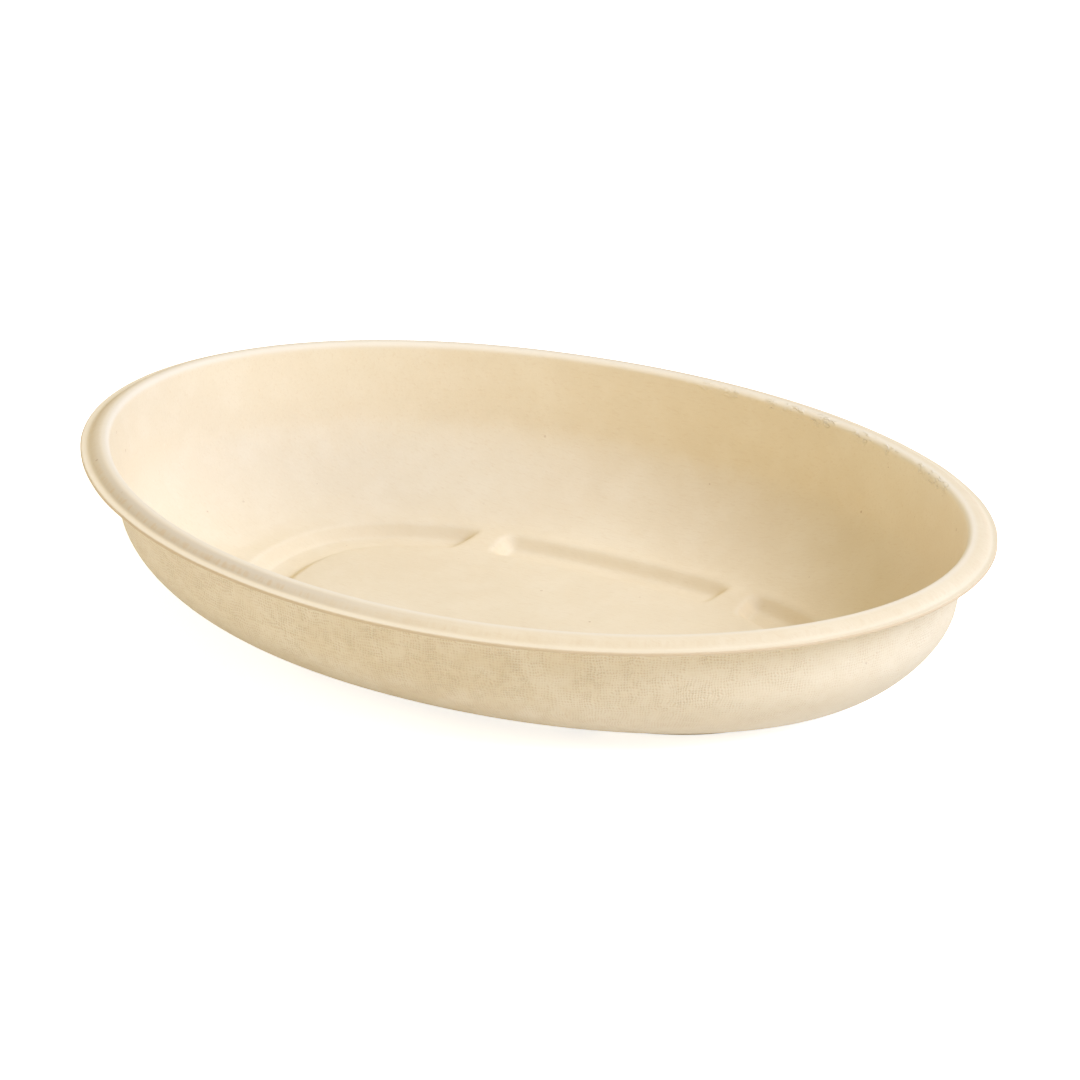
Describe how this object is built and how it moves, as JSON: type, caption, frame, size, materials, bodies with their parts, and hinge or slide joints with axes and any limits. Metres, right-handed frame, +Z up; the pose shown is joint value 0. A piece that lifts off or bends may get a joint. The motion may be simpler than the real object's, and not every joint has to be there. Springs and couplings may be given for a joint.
{
  "type": "oval pulp dish",
  "caption": "Shallow oval dish of pressed plant fibre with a rolled, trimmed rim, drafted walls and a broken ring of hollow feet, for holding instruments, swabs or waste.",
  "frame": {"origin": "centre of the dish in plan, at the height of the flat soles of its feet", "axes": "+X along the dish's long axis, +Y across it, +Z up out of the dish"},
  "size_m": [0.2286, 0.1598, 0.0405],
  "materials": {
    "pressed_fibre": "matte unbleached moulded plant fibre"
  },
  "bodies": {
    "root": {"dish_shell": "pressed_fibre"}
  },
  "joints": []
}
